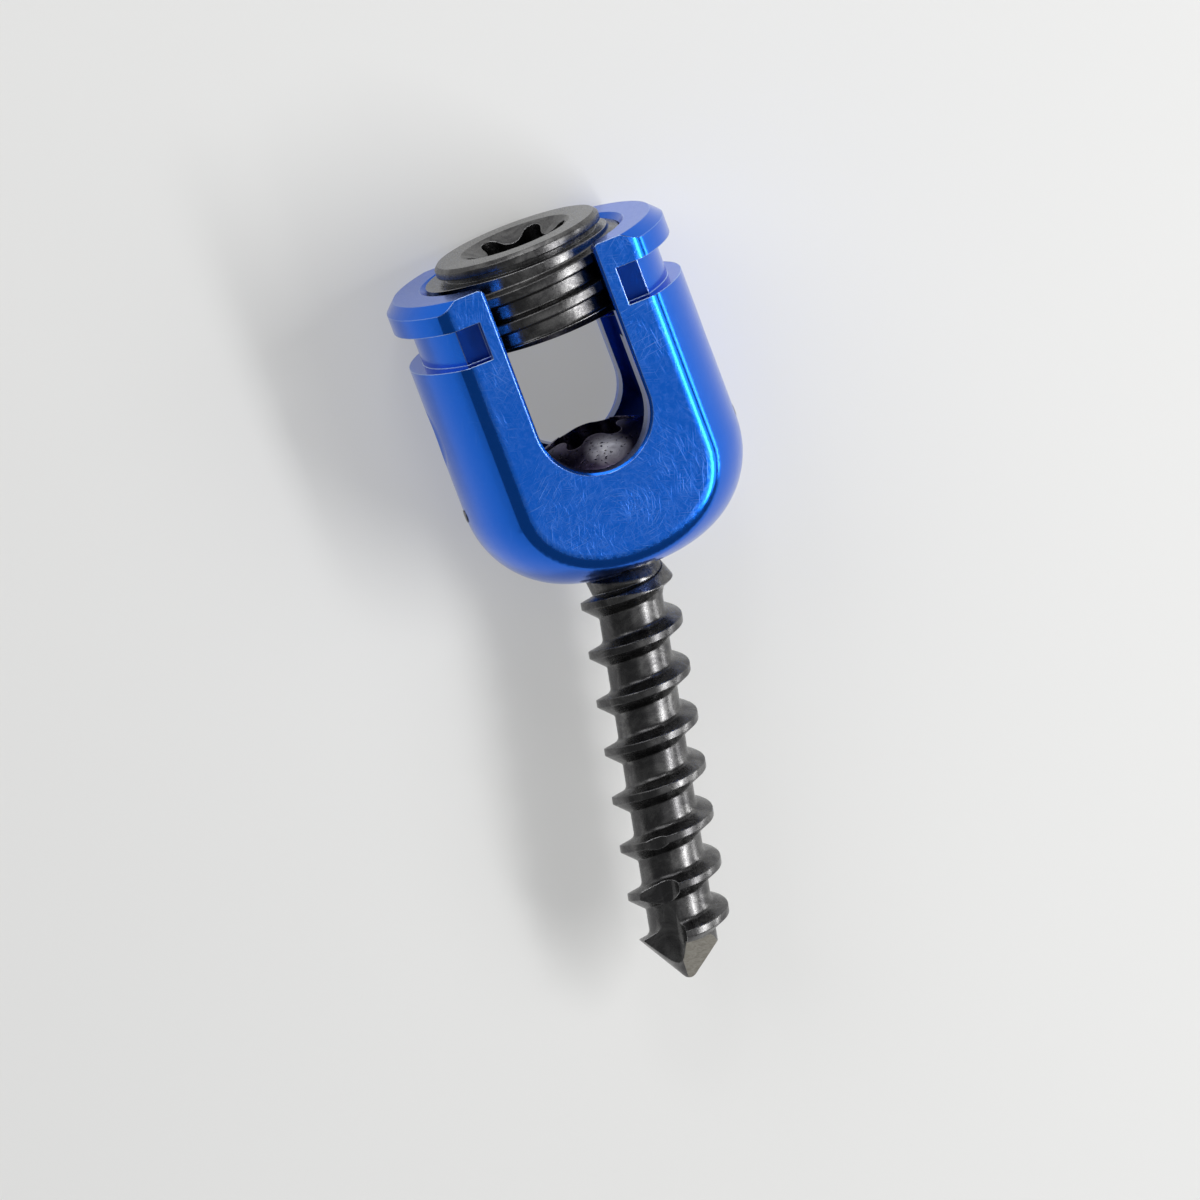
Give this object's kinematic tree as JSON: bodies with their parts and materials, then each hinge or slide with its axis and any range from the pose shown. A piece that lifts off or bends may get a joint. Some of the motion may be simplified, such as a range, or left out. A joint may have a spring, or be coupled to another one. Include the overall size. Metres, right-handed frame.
{
  "type": "pedicle screw",
  "caption": "Polyaxial pedicle screw: a U-slotted tulip head for a spinal rod, swivelling on the ball of a self-tapping bone screw, with a set screw.",
  "frame": {"origin": "On the rear flat of the head, straight below the centre of the ball.", "axes": "+Y runs up the axis of the head towards the set screw, +X across the head, +Z out of the front flat, along the rod."},
  "size_m": [0.0142, 0.0374, 0.0101],
  "materials": {
    "blue_anodised": "blue anodised titanium, fine milled",
    "dark_titanium": "dark grey anodised titanium, satin"
  },
  "bodies": {
    "head": {"tulip": "blue_anodised", "insert_pin_left": "dark_titanium", "insert_pin_right": "dark_titanium"},
    "insert": {"pressure_insert": "dark_titanium"},
    "retainer": {"retainer_ring": "dark_titanium"},
    "shank": {"bone_screw": "dark_titanium"},
    "plug": {"set_screw": "dark_titanium"}
  },
  "joints": [
    {"name": "head_turn", "type": "hinge", "parent": "head", "child": "insert", "pos_m": [0, 0, 0.00505], "axis": [0, 1, 0], "continuous": true},
    {"name": "head_tilt", "type": "hinge", "parent": "insert", "child": "retainer", "pos_m": [0, 0, 0.00505], "axis": [0, 0, 1], "range_deg": [-10.6, 33.4]},
    {"name": "shank_spin", "type": "hinge", "parent": "retainer", "child": "shank", "pos_m": [0, 0, 0.00505], "axis": [-0.1977, -0.9803, 0], "continuous": true},
    {"name": "set_screw_travel", "type": "slide", "parent": "head", "child": "plug", "axis": [0, 1, 0], "range_m": [-0.0003, 0.0033]}
  ]
}
